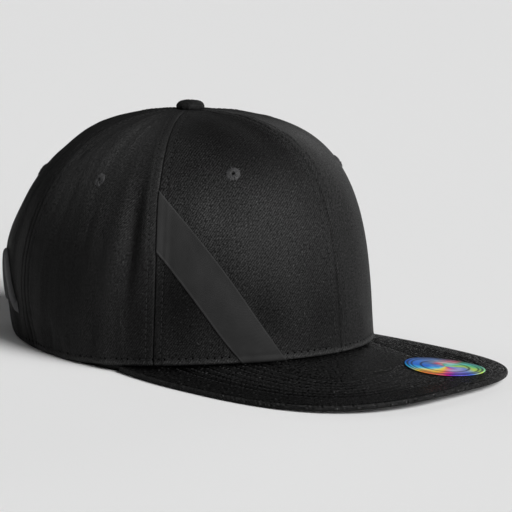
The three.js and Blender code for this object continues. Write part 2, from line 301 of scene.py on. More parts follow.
def cloth_point(around, up, out=0):
    """A point of the finished cloth, or at a distance outside it."""
    fade = smooth(74, 87, math.degrees(up))
    place = leaned(around, up)
    point = crown_surface(place, up)
    low = point.z
    point += crown_normal(place, up) * (cloth_relief(around, up) * (1 - fade) + out)
    hem = math.sin(up) * HEM_RISE
    if hem < 0.35:
        point.z = low
    return point


def spaced(low, high, steps):
    return [lerp(low, high, i / steps) for i in range(steps + 1)]


def lay_grid(rows, columns, place):
    """A grid with a row for each value of the first list and a column for each of the second."""
    cloth = bmesh.new()
    bmesh.ops.create_grid(cloth, x_segments=len(columns) - 1, y_segments=len(rows) - 1, size=0.5)
    cloth.verts.ensure_lookup_table()
    for vert, (row, column) in zip(cloth.verts, product(rows, columns)):
        vert.co = place(row, column) * MM
    return cloth


def map_cloth(cloth, rows, columns):
    """Gives a grid a UV map in millimetres along the cloth, from the middle of its first row."""
    verts = list(cloth.verts)
    flat = {}
    for i, vert in enumerate(verts):
        row, column = divmod(i, columns)
        left = flat[verts[i - 1]][0] + (vert.co - verts[i - 1].co).length / MM if column else 0
        below = verts[i - columns] if row else None
        up = flat[below][1] + (vert.co - below.co).length / MM if row else 0
        flat[vert] = (left, up)
    layer = cloth.loops.layers.uv.new("cloth")
    middles = [flat[verts[row * columns + columns // 2]][0] for row in range(rows)]
    order = {vert: i // columns for i, vert in enumerate(verts)}
    for face in cloth.faces:
        for loop in face.loops:
            u, v = flat[loop.vert]
            loop[layer].uv = (u - middles[order[loop.vert]], v)


def map_flat(cloth, flat):
    """Gives a grid a UV map from a list with the place of each vertex on the flat cloth."""
    layer = cloth.loops.layers.uv.new("cloth")
    for face in cloth.faces:
        for loop in face.loops:
            loop[layer].uv = flat[loop.vert.index]


def trace(verts):
    """The points and normals of a line of vertices, for a row of stitches."""
    return [(vert.co.copy(), vert.normal.copy()) for vert in verts]


def finish_piece(name, shape, finish, slot, *nodes):
    """Makes the mesh an object with its material, which rides on the cap in place of CAD nodes."""
    mesh = bpy.data.meshes.new(name)
    shape.to_mesh(mesh)
    shape.free()
    for face in mesh.polygons:
        face.use_smooth = True
    piece = bpy.data.objects.new(name, mesh)
    bpy.context.scene.collection.objects.link(piece)
    mesh.materials.append(finish)
    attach(piece, "root")
    if nodes:
        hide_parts(*nodes)
    return piece


class Dye:
    """One socket of a material. Sums on it add Math nodes, and node() adds any other node."""

    def __init__(self, tree, socket):
        self.tree = tree
        self.socket = socket

    def node(self, kind, settings=(), inputs=(), output=0):
        added = self.tree.nodes.new(kind)
        for name, value in dict(settings).items():
            if name == "stops":
                while len(added.color_ramp.elements) < len(value):
                    added.color_ramp.elements.new(0.5)
                for stop, (position, colour) in zip(added.color_ramp.elements, value):
                    stop.position = position
                    stop.color = colour
            else:
                setattr(added, name, value)
        for name, value in dict(inputs).items():
            if isinstance(value, Dye):
                self.tree.links.new(value.socket, added.inputs[name])
            else:
                added.inputs[name].default_value = value
        return Dye(self.tree, added.outputs[output] if added.outputs else None)

    def maths(self, operation, *values):
        return self.node("ShaderNodeMath", {"operation": operation}, dict(enumerate((self, *values))))

    def __add__(self, other):
        return self.maths("ADD", other)

    def __radd__(self, other):
        return self.maths("ADD", other)

    def __sub__(self, other):
        return self.maths("SUBTRACT", other)

    def __rsub__(self, other):
        return (self * -1) + other

    def __mul__(self, other):
        return self.maths("MULTIPLY", other)

    def __rmul__(self, other):
        return self.maths("MULTIPLY", other)

    def __truediv__(self, other):
        return self.maths("DIVIDE", other)

    def __pow__(self, other):
        return self.maths("POWER", other)

    def wave(self):
        """A smooth wave between 0 and 1, with a period of 1."""
        return (self * (2 * math.pi)).maths("SINE") * 0.5 + 0.5

    def peak(self, centre, width):
        """1 at a value, falling smoothly to 0 on both sides of it."""
        return ((((self - centre) / width) ** 2) * -1).maths("EXPONENT")

    def mottle(self, scale, detail=2.0, roughness=0.5):
        settings = {"noise_dimensions": "3D"}
        inputs = {"Vector": self, "Scale": scale, "Detail": detail, "Roughness": roughness}
        return self.node("ShaderNodeTexNoise", settings, inputs)

    def blend(self, dark, light):
        inputs = {"Factor": self, "A": (*dark, 1), "B": (*light, 1)}
        return self.node("ShaderNodeMix", {"data_type": "RGBA"}, inputs, "Result")

    def surface(self, **inputs):
        """Ends the material with one shader; underscores in the names stand for spaces."""
        named = {name.replace("_", " "): value for name, value in inputs.items()}
        shader = self.node("ShaderNodeBsdfPrincipled", (), named)
        self.node("ShaderNodeOutputMaterial", (), {"Surface": shader})


def new_dye(name, coordinates="UV"):
    material = bpy.data.materials.new(name)
    material.use_nodes = True
    material.node_tree.nodes.clear()
    tree = material.node_tree
    if coordinates == "UV":
        source = tree.nodes.new("ShaderNodeUVMap")
        source.uv_map = "cloth"
        return material, Dye(tree, source.outputs["UV"])
    source = tree.nodes.new("ShaderNodeTexCoord")
    return material, Dye(tree, source.outputs[coordinates])


def parts_of(dye):
    split = dye.node("ShaderNodeSeparateXYZ", (), {"Vector": dye})
    node = split.socket.node
    return split, Dye(dye.tree, node.outputs[1]), Dye(dye.tree, node.outputs[2])


TWILL_TONE = 0.0115
TWILL_SHEEN = 0.004


def twill(name, tone, pitch=1.05, lean=51, lint=1.0, coarse=1.0, rough=1.0, gloss=0.035, glint=0.0):
    """Black twill: ribs that rise to the right, broken by their yarns, with a soft mottle and lint.

    The ribs are pitch mm apart and rise at lean degrees. The yarns' grain grows larger with coarse
    and deeper with rough, lint adds pale specks, and glint makes the grain shine unevenly. A mottle's
    scale counts its patches in a millimetre of cloth.
    """
    material, cloth = new_dye(name)
    u, v, _ = parts_of(cloth)
    wander = (cloth.mottle(0.2, 2.0) - 0.5) * 1.4 + (cloth.mottle(0.9, 2.0) - 0.5) * 0.7
    across = v * (math.cos(math.radians(lean)) / pitch) - u * (math.sin(math.radians(lean)) / pitch)
    rib = (across + wander).wave()
    grain = cloth.mottle(0.95 / coarse, 2.0, 0.7) - 0.5
    fuzz = cloth.mottle(2.3 / coarse, 2.0, 0.7) - 0.5
    cloudy = cloth.mottle(0.075, 3.0, 0.6) - 0.5
    patchy = grain * 5.0 + cloudy * 1.2 + 0.35
    whole = patchy.node("ShaderNodeClamp", (), {"Value": patchy})
    height = rib * 0.3 * (whole * 0.7 + 0.5) + grain * (1.4 * coarse * rough) + fuzz * 0.8
    lint_grain = cloth.mottle(0.85, 1.0, 0.3)
    limits = {"Value": lint_grain, "From Min": 0.66, "From Max": 0.8}
    specks = lint_grain.node("ShaderNodeMapRange", {"interpolation_type": "SMOOTHSTEP"}, limits)
    shade = (rib * 0.8 + 0.6) * (grain * (3.8 * rough) + 1) * (cloudy * 0.5 + 1) * (fuzz * 2.4 + 1)
    # The vertex attribute read here is painted light and shade on the cloth, which lightens or darkens
    # its tone.
    worn = cloth.node("ShaderNodeAttribute", {"attribute_name": "worn"}, (), 2)
    light = shade.maths("MAXIMUM", 0.12) * (worn + 1) * tone + specks * (0.02 * lint)
    colour = light.blend((0, 0, 0), (1, 1, 1))
    bump = cloth.node("ShaderNodeBump", (), {"Strength": 1.0, "Distance": 0.00015, "Height": height})
    cloth.surface(
        Base_Color=colour,
        Roughness=fuzz * 0.3 - rib * 0.08 + grain * glint + 0.56,
        Specular_IOR_Level=gloss,
        Sheen_Weight=TWILL_SHEEN,
        Sheen_Roughness=0.45,
        Sheen_Tint=(0.62, 0.63, 0.66, 1),
        Normal=bump,
    )
    return material


seam_lines = []
hem_lines = []
for name, first, last, eyelet, eyelet_up, _, shade in PANELS:
    start = math.radians(first)
    end = math.radians(last)
    eye = (math.radians(eyelet), math.radians(eyelet_up))
    rows = [math.asin(hem / HEM_RISE) for hem in HEM_ROWS]
    rows += [math.radians(up) for up in spaced(FIRST_ROW, eyelet_up - PLAIN_ROWS, 76)]
    rows += [math.radians(up) for up in spaced(eyelet_up - FINE_ROWS, eyelet_up + FINE_ROWS, 8)]
    rows += [math.radians(up) for up in spaced(eyelet_up + PLAIN_ROWS, CROWN_TOP, 80)]
    middle = (eyelet - first) / (last - first)
    shares = spaced(0, middle - PLAIN_COLUMNS, 34)[1:]
    shares += spaced(middle - FINE_COLUMNS, middle + FINE_COLUMNS, 8)
    shares += spaced(middle + PLAIN_COLUMNS, 1, 34)[:-1]
    columns = [("start", far) for far in SEAM_COLUMNS]
    columns += [("middle", share) for share in shares]
    columns += [("end", far) for far in reversed(SEAM_COLUMNS)]
    spots = []

    def place_panel(up, column):
        """A point of the panel, at a distance from a seam or at a share of the middle."""
        kind, amount = column
        width = (end - start) * 0.5 * (pace(start, up) + pace(end, up))
        squeeze = min(1, width / (2.4 * SEAM_COLUMNS[-1]))
        edge = SEAM_COLUMNS[-1] * squeeze
        if kind == "start":
            around = start + amount * squeeze / pace(start, up)
        elif kind == "end":
            around = end - amount * squeeze / pace(end, up)
        else:
            around = lerp(start + edge / pace(start, up), end - edge / pace(end, up), amount)
        spots.append((around, up))
        return cloth_point(around, up)

    panel = lay_grid(rows, columns, place_panel)
    map_cloth(panel, len(rows), len(columns))
    worn = panel.verts.layers.float.new("worn")
    centre = crown_surface(*eye)
    hole = [f for f in panel.faces if (f.calc_center_median() / MM - centre).length < EYELET_HOLE]
    verts = list(panel.verts)
    wide = len(columns)
    panel.normal_update()
    for i, vert in enumerate(verts):
        around, up = spots[i]
        # Painted highlight on the rolled hem, plus the painted light and shade patches.
        vert[worn] = hump(math.sin(up) * HEM_RISE - 1.5, 1.1) + painted_shade_at(around, up)
    sewn_row = HEM_ROWS.index(HEM_STITCH)
    sewn_column = SEAM_COLUMNS.index(STITCH_OFFSET)
    for column in (sewn_column, wide - 1 - sewn_column):
        seam_lines.append(trace([verts[row * wide + column] for row in range(sewn_row, len(rows) - 3)]))
    hem_lines.append(trace(verts[sewn_row * wide : (sewn_row + 1) * wide]))
    bmesh.ops.delete(panel, geom=hole, context="FACES")
    # Each panel's copy of the twill is painted lighter or darker by its shade, for how the light falls on
    # that panel.
    finish = twill(f"twill_{name}", TWILL_TONE * shade)
    piece = finish_piece(f"{name}_cloth", panel, finish, "twill", f"{name}_panel")
    wall = piece.modifiers.new("wall", "SOLIDIFY")
    wall.thickness = CLOTH * MM
    wall.offset = -1
    wall.use_even_offset = False

# Stitches. Lockstitch in black thread: two rows beside every crown seam and one above the hem,
# which goes through the sweatband. Each stitch is a short bead of thread, pulled into the cloth.
SEAM_PITCH = 3.0
HEM_PITCH = 3.5
BEAD_LIFT = 0.06  # the middle of a bead lies this far above the cloth
BEAD_FLAT = 0.8  # its height to its width
HOLE_DEEP = 0.3
HOLE_LONG = 0.9  # a needle hole's length to its width


def sew(threads, holes, line, pitch, thick, punched=1.5, cover=0.8):
    """Lays a bead of thread at every pitch along a line of points and normals, with a near-black mark at
    each needle hole as its painted shade.

    A hole is as many times wider than the thread as punched says, and cover is the share of the
    pitch that a bead takes up.
    """
    row = bmesh.new()
    marks = bmesh.new()
    travelled = 0
    due = pitch / 2
    for (near, near_up), (far, far_up) in zip(line, line[1:]):
        step = (far - near).length / MM
        while due <= travelled + step:
            share = (due - travelled) / step
            normal = near_up.lerp(far_up, share).normalized()
            along = (far - near).normalized()
            turn = Matrix((along.cross(normal), normal, along)).transposed().to_4x4()
            spot = near.lerp(far, share)
            place = Matrix.Translation(spot + normal * BEAD_LIFT * MM) @ turn
            size = Matrix.Diagonal((thick * MM, BEAD_FLAT * thick * MM, cover * pitch * MM, 1))
            bmesh.ops.create_uvsphere(row, u_segments=6, v_segments=4, radius=0.5, matrix=place @ size)
            hole = Matrix.Translation(spot + along * pitch / 2 * MM) @ turn
            wide = punched * thick * MM
            size = Matrix.Diagonal((wide, HOLE_DEEP * MM, HOLE_LONG * punched * thick * MM, 1))
            bmesh.ops.create_uvsphere(marks, u_segments=6, v_segments=3, radius=0.5, matrix=hole @ size)
            due += pitch
        travelled += step
    for made, whole in ((row, threads), (marks, holes)):
        sewn = bpy.data.meshes.new("row")
        made.to_mesh(sewn)
        made.free()
        whole.from_mesh(sewn)
        bpy.data.meshes.remove(sewn)


def thread_finish(name, tone, gloss=0.1):
    """Twisted sewing thread, a little glossier than the cloth."""
    material, place = new_dye(name, "Object")
    twist = place.mottle(2200.0, 2.0)
    colour = (twist * tone * 1.2 + tone * 0.4).blend((0, 0, 0), (1, 1, 1.02))
    bump = place.node("ShaderNodeBump", (), {"Strength": 1.0, "Distance": 0.00008, "Height": twist})
    place.surface(Base_Color=colour, Roughness=0.5, Specular_IOR_Level=gloss, Normal=bump)
    return material


black_thread = thread_finish("black_thread", 0.017)
# Needle holes are near-black marks: painted shade where the thread pulls into the cloth.
needle_hole_shade = thread_finish("needle_hole_shade", 0.0008, 0.0)
crown_threads = bmesh.new()
crown_hole_shade = bmesh.new()
for line in seam_lines:
    sew(crown_threads, crown_hole_shade, line, SEAM_PITCH, 0.4)
for line in hem_lines:
    sew(crown_threads, crown_hole_shade, line, HEM_PITCH, 0.42, 2.6)
finish_piece("crown_stitches", crown_threads, black_thread, "eyelet_thread")
finish_piece("crown_needle_holes", crown_hole_shade, needle_hole_shade, "eyelet_thread")

# Sewn eyelets. A ring of satin stitch around a punched hole in each panel, its threads lying
# outwards and through the hole, a little uneven as a machine leaves them.
EYELET_TUBE = (
    # radius and height above the cloth in mm, around the section of the thread's core
    (0.8, -2.2),
    (0.8, 0.0),
    (1.2, 0.34),
    (2.8, 0.3),
    (3.5, -0.15),
    (3.5, -2.0),
    (2.8, -2.6),
    (1.6, -2.6),
)
EYELET_THREADS = 26
THREAD_INNER = 0.75  # the threads start this far from the hole's middle, at this height
THREAD_HEIGHT = 0.42


def turn_profile(profile, steps, closed=False):
    """A shape turned on the vertical axis from a profile of radii and heights."""
    shape = bmesh.new()
    corners = [shape.verts.new((radius, 0, height)) for radius, height in profile]
    after = corners[1:] + corners[:1] if closed else corners[1:]
    geom = corners + [shape.edges.new(pair) for pair in zip(corners, after)]
    bmesh.ops.spin(shape, geom=geom, axis=(0, 0, 1), angle=2 * math.pi, steps=steps, use_merge=True)
    return shape


random.seed(4)
for name, first, last, eyelet, eyelet_up, tone, _ in PANELS:
    ring = turn_profile(EYELET_TUBE, 32, closed=True)
    bmesh.ops.recalc_face_normals(ring, faces=ring.faces)
    for i in range(EYELET_THREADS):
        angle = 2 * math.pi * (i + random.uniform(-0.3, 0.3)) / EYELET_THREADS
        reach = random.uniform(2.2, 3.5)
        lean = Matrix.Rotation(math.radians(random.uniform(4, 20)), 4, "Y")
        size = Matrix.Diagonal((reach, random.uniform(0.35, 0.75), random.uniform(0.4, 0.8), 1))
        inner = Matrix.Translation((THREAD_INNER + reach / 2, 0, THREAD_HEIGHT))
        spot = Matrix.Rotation(angle, 4, "Z") @ inner @ lean @ size
        turn = Matrix.Rotation(math.pi / 2, 4, "Y")
        bmesh.ops.create_uvsphere(ring, u_segments=6, v_segments=5, radius=0.5, matrix=spot @ turn)
    around = math.radians(eyelet)
    up = math.radians(eyelet_up)
    turn = crown_normal(around, up).to_track_quat("Z", "Y").to_matrix().to_4x4()
    seat = Matrix.Translation(cloth_point(around, up) * MM) @ turn @ Matrix.Scale(MM, 4)
    bmesh.ops.transform(ring, matrix=seat, verts=ring.verts)
    # The same thread is painted lighter or darker by its panel's tone, as a painted highlight where the
    # lamps catch the eyelet.
    finish = thread_finish(f"eyelet_thread_{name}", tone)
    finish_piece(f"eyelet_{name}_thread", ring, finish, "eyelet_thread", f"eyelet_{name}")

# Covered button. A metal button in a circle of the crown's twill, gathered under its rim and pressed
# into the meeting point of the panels.
BUTTON_PROFILE = (
    # radius and height above the top of the crown, in mm
    (1.4, -2.6),
    (1.4, -0.4),
    (5.4, -0.4),
    (6.2, -0.2),
    (6.75, 0.4),
    (7.0, 1.2),
    (6.95, 2.0),
    (6.65, 2.75),
    (6.0, 3.45),
    (5.0, 4.0),
    (3.5, 4.4),
    (1.8, 4.58),
    (0.0, 4.62),
)
BUTTON_RADIUS = 7
BUTTON_RISE = 4.6
BUTTON_PLEATS = 13
PLEAT_DEEP = 0.16

button = turn_profile(BUTTON_PROFILE, 64)
bmesh.ops.remove_doubles(button, verts=button.verts, dist=1e-4)
bmesh.ops.holes_fill(button, edges=button.edges, sides=0)
bmesh.ops.recalc_face_normals(button, faces=button.faces)
layer = button.loops.layers.uv.new("cloth")
for face in button.faces:
    for loop in face.loops:
        flat = loop.vert.co.xy
        out = flat.length + max(0, BUTTON_RISE - loop.vert.co.z) * 0.9
        loop[layer].uv = flat.normalized() * out
for vert in button.verts:
    angle = math.atan2(vert.co.y, vert.co.x)
    gather = noise.noise(Vector((math.cos(angle) * 2.2, math.sin(angle) * 2.2, 5.0)))
    low = 1 - smooth(0.8, 3.6, vert.co.z)
    pleat = PLEAT_DEEP * math.cos(BUTTON_PLEATS * angle + 2 * gather) * low + 0.35 * gather * low
    vert.co.xy *= 1 + pleat / BUTTON_RADIUS * smooth(3, 6, vert.co.xy.length)
    vert.co.z += 0.3 * gather * smooth(2.5, 4.5, vert.co.z)
top = crown_surface(0, math.pi / 2)
bmesh.ops.transform(button, matrix=Matrix.Translation(top * MM) @ Matrix.Scale(MM, 4), verts=button.verts)
finish_piece("button_cloth", button, twill("twill_button", TWILL_TONE, lean=25), "twill", "top_button")

# Bill. A stiff board between two layers of twill, turned at the edge and held by rows of stitches
# parallel to it. Its root lies under the hem, between the panels and the sweatband.
BILL_REACH = 174.9
BILL_SHOULDER = 75.6
BILL_HALF = 80.4
BILL_TAIL = math.radians(69.5)
TAIL_OVERHANG = 1.0
BILL_SQUARE = 2.9
BILL_THICK = 2.9
EDGE_RISE = 3.3
FRONT_SHARE = 0.72
HOLLOW = 2  # how fast its slope flattens out from the hem
UNDER_HEM = 0.3
ROW_FIRST = 14.4  # from the edge to the outermost channel and its row of stitches
ROW_STEP = 3.95
ROW_COUNT = 8
SEWN_ROWS = 7  # the innermost channel has no stitches laid in it
CHANNEL_DEEP = 0.5
CHANNEL_WIDE = 0.85
BILL_PITCH = 2.4
ROOT_CLEAR = 1.2  # stitches stop this far from the hem
OUTLINE_STEPS = 2000  # places along the edge that an inset is measured from
EDGE_CLOTH = 5.5  # mm of cloth round the edge, from the upper face to the lower
# The last column is painted light and shade: a painted highlight on the edge's upper crest, painted shade
# in the groove inside it and under the edge.
EDGE_PROFILE = (
    # how far in from the edge, below the upper face and round the cloth in mm, and how much lighter it is
    # painted
    (1.9, 0.05, 0.0, -0.4),
    (1.45, 0.4, 0.5, -0.7),
    (1.05, 0.2, 0.9, 0.1),
    (0.55, 0.22, 1.4, 0.9),
    (0.18, 0.55, 1.9, 0.9),
    (0.0, 1.15, 2.5, 0.4),
    (0.0, 1.8, 3.1, 0.2),
    (0.18, 2.35, 3.7, 0.0),
    (0.6, 2.72, 4.3, -0.3),
    (1.3, 2.88, 5.0, -0.3),
)


def bill_outline(place):
    """Distances forward and left of the crown's axis, from the right end at -1 to the left at 1."""
    side = math.copysign(1, place)
    share = abs(place)
    if share < FRONT_SHARE:
        ahead, out = squircle(share / FRONT_SHARE * math.pi / 2, BILL_SQUARE)
        return lerp(BILL_SHOULDER, BILL_REACH, ahead), side * out * BILL_HALF
    back = (share - FRONT_SHARE) / (1 - FRONT_SHARE)
    tail = crown_section(BILL_TAIL, 0)[0] + TAIL_OVERHANG
    forward = lerp(BILL_SHOULDER, tail * math.cos(BILL_TAIL), back)
    return forward, side * lerp(BILL_HALF, tail * math.sin(BILL_TAIL), back**2)


def bill_ends(place):
    """The root under the hem and the edge of the bill's upper face, in line with the axis."""
    forward, left = bill_outline(place)
    around = math.atan2(left, forward)
    root = crown_surface(around, 0) - crown_normal(around, 0) * CLOTH
    root.z = hem_height(around) - UNDER_HEM
    lift = EDGE_RISE * max(0, 1 - (left / BILL_HALF) ** 2)
    return root, Vector((left, CENTRE - forward, lift + BILL_THICK))


outline_tree = kdtree.KDTree(OUTLINE_STEPS + 1)
for i, place in enumerate(spaced(-1, 1, OUTLINE_STEPS)):
    forward, left = bill_outline(place)
    outline_tree.insert(Vector((left, CENTRE - forward, 0)), i)
outline_tree.balance()


def bill_point(place, inset):
    """A point of the upper face at a distance in from the edge, or at the root if that is nearer."""
    root, edge = bill_ends(place)
    near, far = 0.0, 1.0
    for _ in range(14):
        share = (near + far) / 2
        spot = edge.lerp(root, share)
        reached = outline_tree.find(Vector((spot.x, spot.y, 0)))[2]
        if reached < inset:
            near = share
        else:
            far = share
    point = edge.lerp(root, far if inset else 0)
    point.z = lerp(edge.z, root.z, far**HOLLOW if inset else 0)
    return point


def from_row(inset):
    """Millimetres from the nearest row of stitches."""
    rows = (inset - ROW_FIRST) / ROW_STEP
    return (rows - min(ROW_COUNT - 1, max(0, round(rows)))) * ROW_STEP


def bill_relief(inset):
    """How far the upper cloth stands out between its rows of stitches."""
    valley = -CHANNEL_DEEP * hump(from_row(inset), CHANNEL_WIDE)
    return valley + 0.1 * noise.noise(Vector((inset / 9, 2.2, 0)))


EDGE_PAINTED_LIGHT = {(inset, drop): lighter for inset, drop, _, lighter in EDGE_PROFILE}
bill_places = spaced(-1, 1, 190)
bill_insets = [2.6, 3.6, 5.2, 7.2, 9.2] + spaced(43.5, 72, 14)
for row in range(ROW_COUNT):
    bill_insets += [ROW_FIRST + ROW_STEP * row + off for off in (-1.4, -0.7, 0, 0.7, 1.4)]
bill_insets.sort()
bill_rows = [("top", inset, 0) for inset in reversed(bill_insets)]
bill_rows += [(inset, drop, round_cloth) for inset, drop, round_cloth, _ in EDGE_PROFILE]
bill_rows += [("under", inset, 0) for inset in bill_insets]
bill_flat = []


def place_bill(row, place):
    """A point of the bill's cloth on its upper face, round its edge or on its lower face."""
    kind, amount, round_cloth = row
    forward, left = bill_outline(place)
    edge = Vector((left, CENTRE - forward, 0))
    if kind in ("top", "under"):
        point = bill_point(place, amount)
        relief = bill_relief(amount)
        point.z += relief if kind == "top" else -BILL_THICK - relief * 0.6
        spread = 0 if kind == "top" else EDGE_CLOTH + 2 * amount
    else:
        point = bill_point(place, kind)
        point.z -= amount
        spread = round_cloth
    outward = (edge - Vector((point.x, point.y, 0))).normalized()
    bill_flat.append((point.x + outward.x * spread, -point.y - outward.y * spread))
    point.z = max(0.02, point.z)
    return point


bill = lay_grid(bill_rows, bill_places, place_bill)
map_flat(bill, bill_flat)
worn = bill.verts.layers.float.new("worn")
wide = len(bill_places)
roots = [bill_ends(place)[0].xy for place in bill_places]
for i, vert in enumerate(bill.verts):
    kind, amount, _ = bill_rows[i // wide]
    if kind in ("top", "under"):
        # Painted shade: darker in the stitch channels and in the corner under the hem, and darker on the
        # band nearest the edge.
        corner = hump((vert.co.xy / MM - roots[i % wide]).length, 4.5)
        outside = 1 - smooth(12, 26, amount)
        vert[worn] = 0.1 - 0.45 * hump(from_row(amount), 1.0) - 0.8 * corner - 0.5 * outside
    else:
        vert[worn] = EDGE_PAINTED_LIGHT[(kind, amount)]
bill.normal_update()
bill_lines = []
sewn_insets = [ROW_FIRST + ROW_STEP * row for row in range(SEWN_ROWS)]
verts = list(bill.verts)
for row, (kind, inset, _) in enumerate(bill_rows):
    if kind in ("top", "under") and inset in sewn_insets:
        line = verts[row * wide : (row + 1) * wide]
        clear = [vert for vert, root in zip(line, roots) if (vert.co.xy / MM - root).length > ROOT_CLEAR]
        bill_lines.append(trace(clear))
bmesh.ops.remove_doubles(bill, verts=bill.verts, dist=2e-5)
bmesh.ops.holes_fill(bill, edges=[edge for edge in bill.edges if edge.is_boundary], sides=0)
bmesh.ops.recalc_face_normals(bill, faces=bill.faces)
bill_tone = 0.64 * TWILL_TONE
bill_finish = twill("twill_bill", bill_tone, lint=3.0, coarse=1.25, rough=1.9, gloss=0.04, glint=4.0)
finish_piece("bill_cloth", bill, bill_finish, "bill_cloth", "bill")
bill_threads = bmesh.new()
bill_hole_shade = bmesh.new()
for line in bill_lines:
    sew(bill_threads, bill_hole_shade, line, BILL_PITCH, 0.5, 1.1, 0.94)
# The bill's thread is painted lighter than the crown's black thread, as a painted highlight on its beads.
bill_thread = thread_finish("bill_thread", 0.045, 0.02)
finish_piece("bill_stitches", bill_threads, bill_thread, "eyelet_thread")
finish_piece("bill_needle_holes", bill_hole_shade, needle_hole_shade, "eyelet_thread")

# Sweatband. A soft black cotton band folded over at the hem, which lines the crown's lower edge
# and covers the bill's root.
BAND_OUT = CLOTH + 0.25
BAND_THICK = 1.2
BAND_SECTION = (
    # share of the height, and how far in through the band's thickness
    (0.04, 0.1),
    (0.0, 0.5),
    (0.04, 0.9),
    (0.12, 1.0),
    (0.3, 1.0),
    (0.5, 1.0),
    (0.7, 1.0),
    (0.84, 1.12),
    (0.88, 0.85),
    (0.93, 1.05),
    (0.98, 0.9),
    (1.0, 0.5),
    (0.98, 0.1),
    (0.9, 0.0),
    (0.7, 0.0),
    (0.5, 0.0),
    (0.3, 0.0),
    (0.12, 0.0),
    (0.04, 0.1),
)
BAND_UP = math.radians(16.6)


def place_band(section, around):
    share, through = section
    up = BAND_UP * share
    point = crown_surface(around, up)
    inside = crown_normal(around, up)
    inside.z = 0
    point -= inside.normalized() * (BAND_OUT + BAND_THICK * through)
    bottom = max(0.05, hem_height(around) - BILL_THICK - 0.3)
    top = crown_surface(around, BAND_UP).z
    point.z = lerp(bottom, top, share)
    return point


band_around = [math.radians(angle) for angle in spaced(-180, 180, 216)]
band_finish = twill("cotton_band", 0.8 * TWILL_TONE, 0.8, 20)
band = lay_grid(BAND_SECTION, band_around, place_band)
map_cloth(band, len(BAND_SECTION), len(band_around))
bmesh.ops.remove_doubles(band, verts=band.verts, dist=1e-6)
bmesh.ops.recalc_face_normals(band, faces=band.faces)
finish_piece("band_cloth", band, band_finish, "band_cloth", "sweatband")

# Stripe. A flat woven tape sewn across the right front panel, from the side seam down over the hem,
# with its ends caught in the seam and under the hem.
STRIPE_LOWER = (-29.6, 26.4, 1.75)  # degrees around at the hem, degrees up at the seam, and bow
STRIPE_UPPER = (-17.6, 40.3, 4.1)
STRIPE_SEAM = -56.62
STRIPE_SKEW = 0.5
TAPE_THICK = 0.55
TAPE_WIDE = 22.0  # mm across and along, for the weave
TAPE_LONG = 96.0
TAPE_TONE = 0.0165


def place_stripe(across, along):
    """A point of the tape's outside; across runs from its lower edge, and a fold hides its rim."""
    share, thick = across
    (low_hem, low_up, low_bow), (high_hem, high_up, high_bow) = STRIPE_LOWER, STRIPE_UPPER
    bow = math.sin(math.pi * along)
    skew = STRIPE_SKEW * math.sin(2 * math.pi * along)
    low = lerp(low_hem, STRIPE_SEAM, along) + low_bow * bow - skew
    high = lerp(high_hem, STRIPE_SEAM, along) + high_bow * bow - skew
    around = math.radians(lerp(low, high, share))
    up = math.radians(lerp(low_up, high_up, share) * along)
    return cloth_point(around, up, TAPE_THICK * thick)


tape_across = [(0, 0.0), (0, 0.7), (0.012, 1.0)] + [(share, 1.0) for share in spaced(0.04, 0.96, 12)]
tape_across += [(0.988, 1.0), (1, 0.7), (1, 0.0)]
tape_along = [0, 0.006, 0.014, 0.024, 0.034, 0.044, 0.054, 0.066] + spaced(0.08, 0.93, 60)
tape_along += [0.945, 0.96, 0.972, 0.982, 0.99, 0.995, 1]
stripe = lay_grid(tape_along, tape_across, lambda along, across: place_stripe(across, along))
tape_flat = [(share * TAPE_WIDE, along * TAPE_LONG) for along in tape_along for share, _ in tape_across]
map_flat(stripe, tape_flat)
bmesh.ops.recalc_face_normals(stripe, faces=stripe.faces)
tape, cloth = new_dye("ribbed_tape")
u, v, _ = parts_of(cloth)
ribs = ((v + u * 0.55) * (1 / 0.95) + cloth.mottle(0.5) * 0.3).wave()
picks = (u * (1 / 0.6)).wave()
dust = cloth.mottle(2.4, 3.0)
sheen = cloth.mottle(0.09, 2.0)
# Painted highlights along the tape's edges: a light line at the lower edge and a broken line of lighter
# and darker dots at the upper.
edge_highlight = u.peak(0.7, 0.5) * 0.7 + u.peak(TAPE_WIDE - 0.3, 0.3) * (dust * 2.4 - 1.0)
woven = (ribs * 0.06 + picks * 0.04 + 0.9) * (dust * 0.3 + 0.85) * (sheen * 0.5 + 0.75)
# Painted light: the tape is painted lighter toward its upper end at the seam, where the lamps fall on it.
painted_lit_end = v.peak(TAPE_LONG, 28.0) * 0.75 + 1
tone = (woven * (edge_highlight + 1) * painted_lit_end * TAPE_TONE).blend((0, 0, 0), (1, 1, 1))
height = ribs + picks * 0.4
weave = cloth.node("ShaderNodeBump", (), {"Strength": 1.0, "Distance": 0.00003, "Height": height})
cloth.surface(Base_Color=tone, Roughness=0.65, Specular_IOR_Level=0.1, Normal=weave)
finish_piece("stripe_tape", stripe, tape, "woven_tape", "front_stripe")

# Stitched wave. A ribbon of dark grey satin stitch low on the right back panel, with its threads
# laid across the ribbon and raised over padding.
WAVE_FROM = -132.0
WAVE_TO = -166.0
WAVE_MIDDLE = 14.6
WAVE_SWING = 5.8
WAVE_TURNS = 2 * math.pi * 1.5
WAVE_WIDTH = 6.4
WAVE_THICK = 1.5
WAVE_STEPS = 600
WAVE_THREADS = 150
THREAD_RELIEF = 0.09


